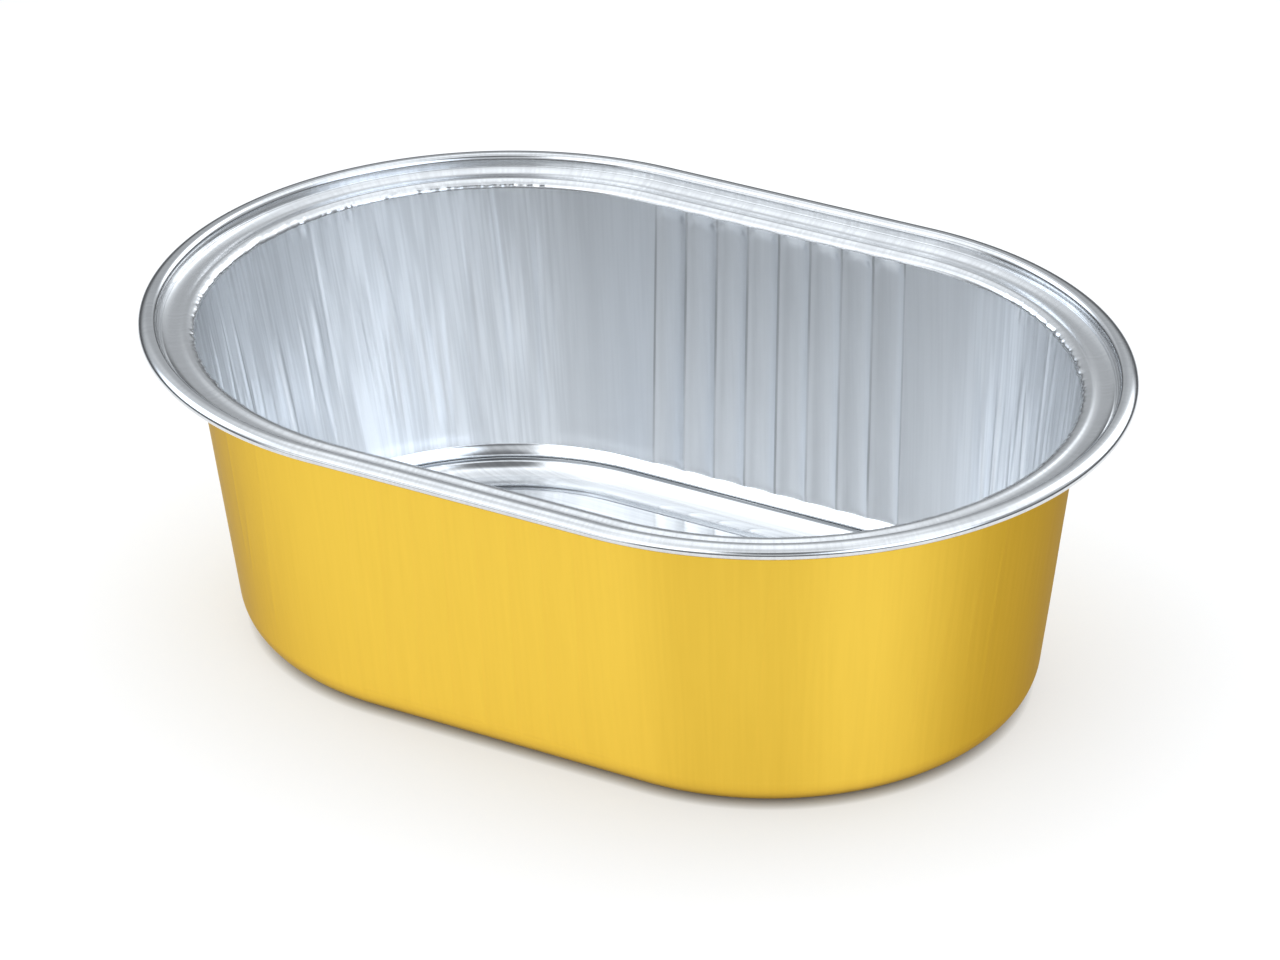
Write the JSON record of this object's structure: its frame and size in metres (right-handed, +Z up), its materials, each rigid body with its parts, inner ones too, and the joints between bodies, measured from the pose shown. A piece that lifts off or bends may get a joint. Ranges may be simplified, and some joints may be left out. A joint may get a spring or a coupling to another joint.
{
  "type": "oval foil baking cup",
  "caption": "Oval drawn foil baking cup with straight sides, round ends, gold outside, bare silver inside, a narrow flange, a rolled rim and a slightly raised base panel inside a rounded heel.",
  "frame": {"origin": "centre of the cup's footprint, on the plane that it stands on", "axes": "+X along the cup's length, +Y across its width, +Z up through the open mouth"},
  "size_m": [0.12, 0.084, 0.0398],
  "materials": {
    "bare_foil": "satin bare foil",
    "gold_lacquer": "satin gold lacquer over foil"
  },
  "bodies": {
    "root": {"base_panel": "bare_foil", "foot_ring": "bare_foil", "side_wall": "bare_foil", "sealing_flange": "bare_foil", "rolled_rim": "bare_foil", "base_panel_lacquer": "gold_lacquer", "foot_ring_lacquer": "gold_lacquer", "side_wall_lacquer": "gold_lacquer", "sealing_flange_lacquer": "gold_lacquer", "rolled_rim_lacquer": "gold_lacquer"}
  },
  "joints": []
}
